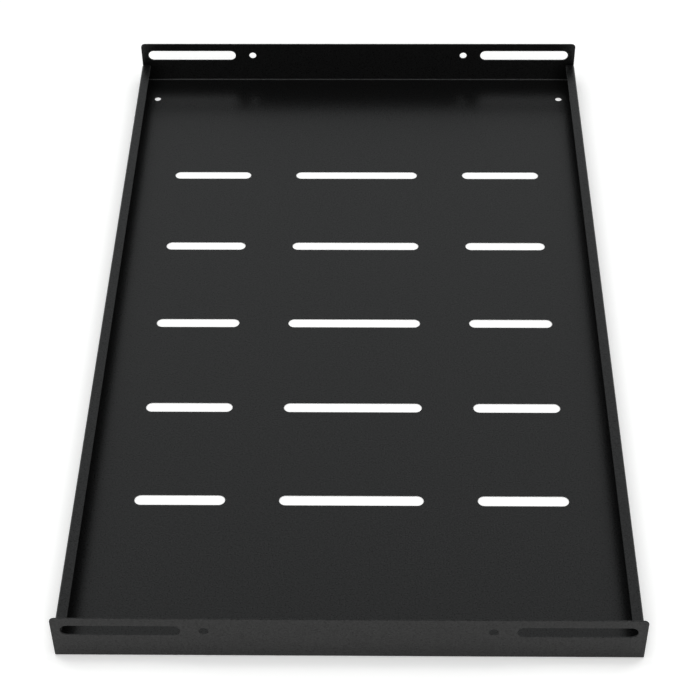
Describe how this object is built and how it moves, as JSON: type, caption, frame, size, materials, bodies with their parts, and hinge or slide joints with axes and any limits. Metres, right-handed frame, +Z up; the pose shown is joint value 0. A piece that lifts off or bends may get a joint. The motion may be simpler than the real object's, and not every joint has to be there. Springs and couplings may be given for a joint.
{
  "type": "rack shelf",
  "caption": "Folded sheet steel tray for a 19 inch equipment rack, with a vented floor, low lipped side walls and slotted end flanges for fixing at front and rear.",
  "frame": {"origin": "centre of the floor's underside", "axes": "+X to the right seen from the front, +Y from the front flange to the rear flange, +Z up out of the tray"},
  "size_m": [0.4826, 0.8, 0.049],
  "materials": {
    "powder_coated_steel": "fine-grained satin powder coat"
  },
  "bodies": {
    "root": {"rack_shelf": "powder_coated_steel"}
  },
  "joints": []
}
